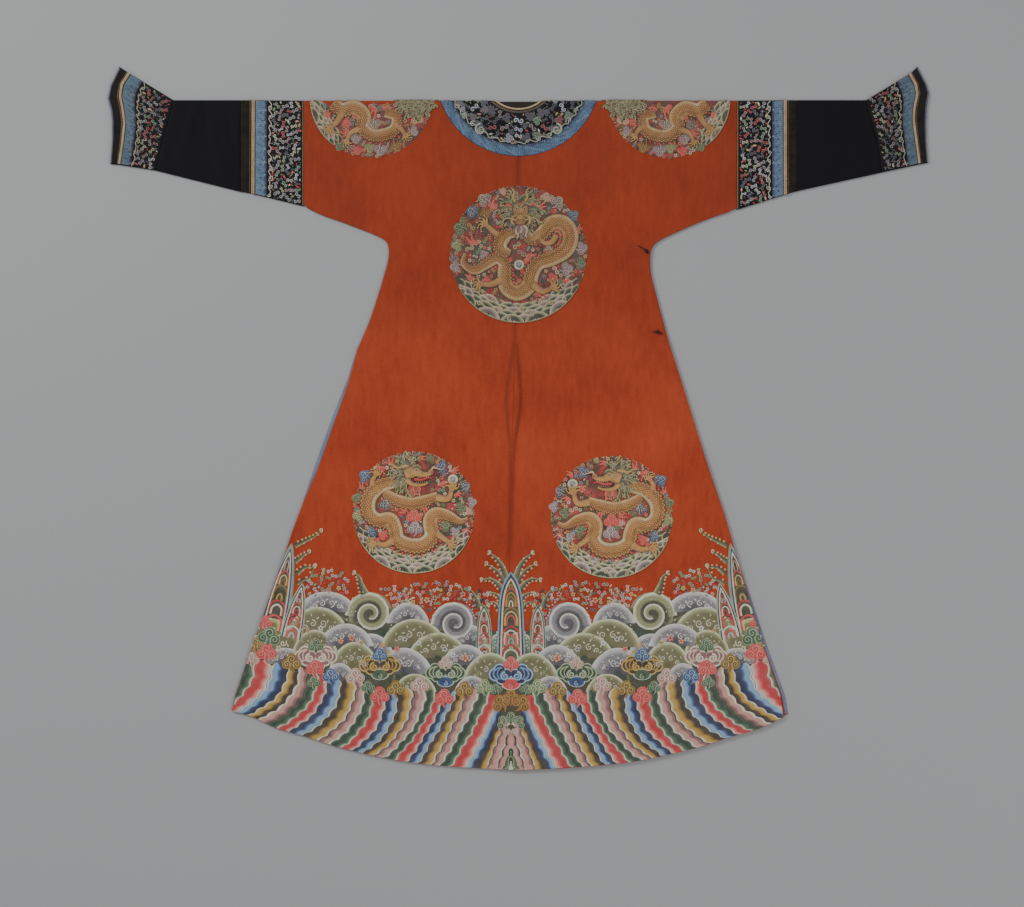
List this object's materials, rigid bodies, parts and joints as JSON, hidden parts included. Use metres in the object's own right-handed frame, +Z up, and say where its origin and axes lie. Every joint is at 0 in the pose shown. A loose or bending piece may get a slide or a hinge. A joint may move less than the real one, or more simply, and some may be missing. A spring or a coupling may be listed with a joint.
{
  "type": "chinese dragon robe",
  "caption": "Full-length silk robe laid flat, back up: round collar, banded sleeves with horseshoe cuffs, flared skirt with side slits, embroidered roundels and a wave-and-stripe hem.",
  "frame": {"origin": "centre of the robe's footprint, on the surface that it lies on", "axes": "+X to the wearer's right, which is the viewer's right with the back up; +Y from the hem to the shoulder fold; +Z up, out of the back of the robe"},
  "size_m": [1.748, 1.4973, 0.0127],
  "materials": {
    "silk": "orange-red silk damask, satin sheen",
    "embroidered_satin": "dark satin, embroidered in silk, with a blue wave edge",
    "gold_braid": "tan and gold braid",
    "dark_satin": "dark satin",
    "brown_brocade": "brown brocade strip, matt",
    "black_silk": "plain black silk",
    "cuff_binding": "dark brocade binding",
    "lining": "pale blue silk lining",
    "cord": "dark corded silk"
  },
  "bodies": {
    "root": {"body_left": "silk", "body_right": "silk", "front_flap": "silk", "collar": "embroidered_satin", "neck_binding": "gold_braid", "neck_facing": "dark_satin", "sleeve_band_left": "embroidered_satin", "sleeve_band_right": "embroidered_satin", "sleeve_strip_left": "brown_brocade", "sleeve_strip_right": "brown_brocade", "sleeve_left": "black_silk", "sleeve_right": "black_silk", "cuff_left": "embroidered_satin", "cuff_right": "embroidered_satin", "cuff_border_left": "cuff_binding", "cuff_border_right": "cuff_binding", "lining_left": "lining", "lining_right": "lining", "loop_upper": "cord", "loop_lower": "cord"}
  },
  "joints": []
}
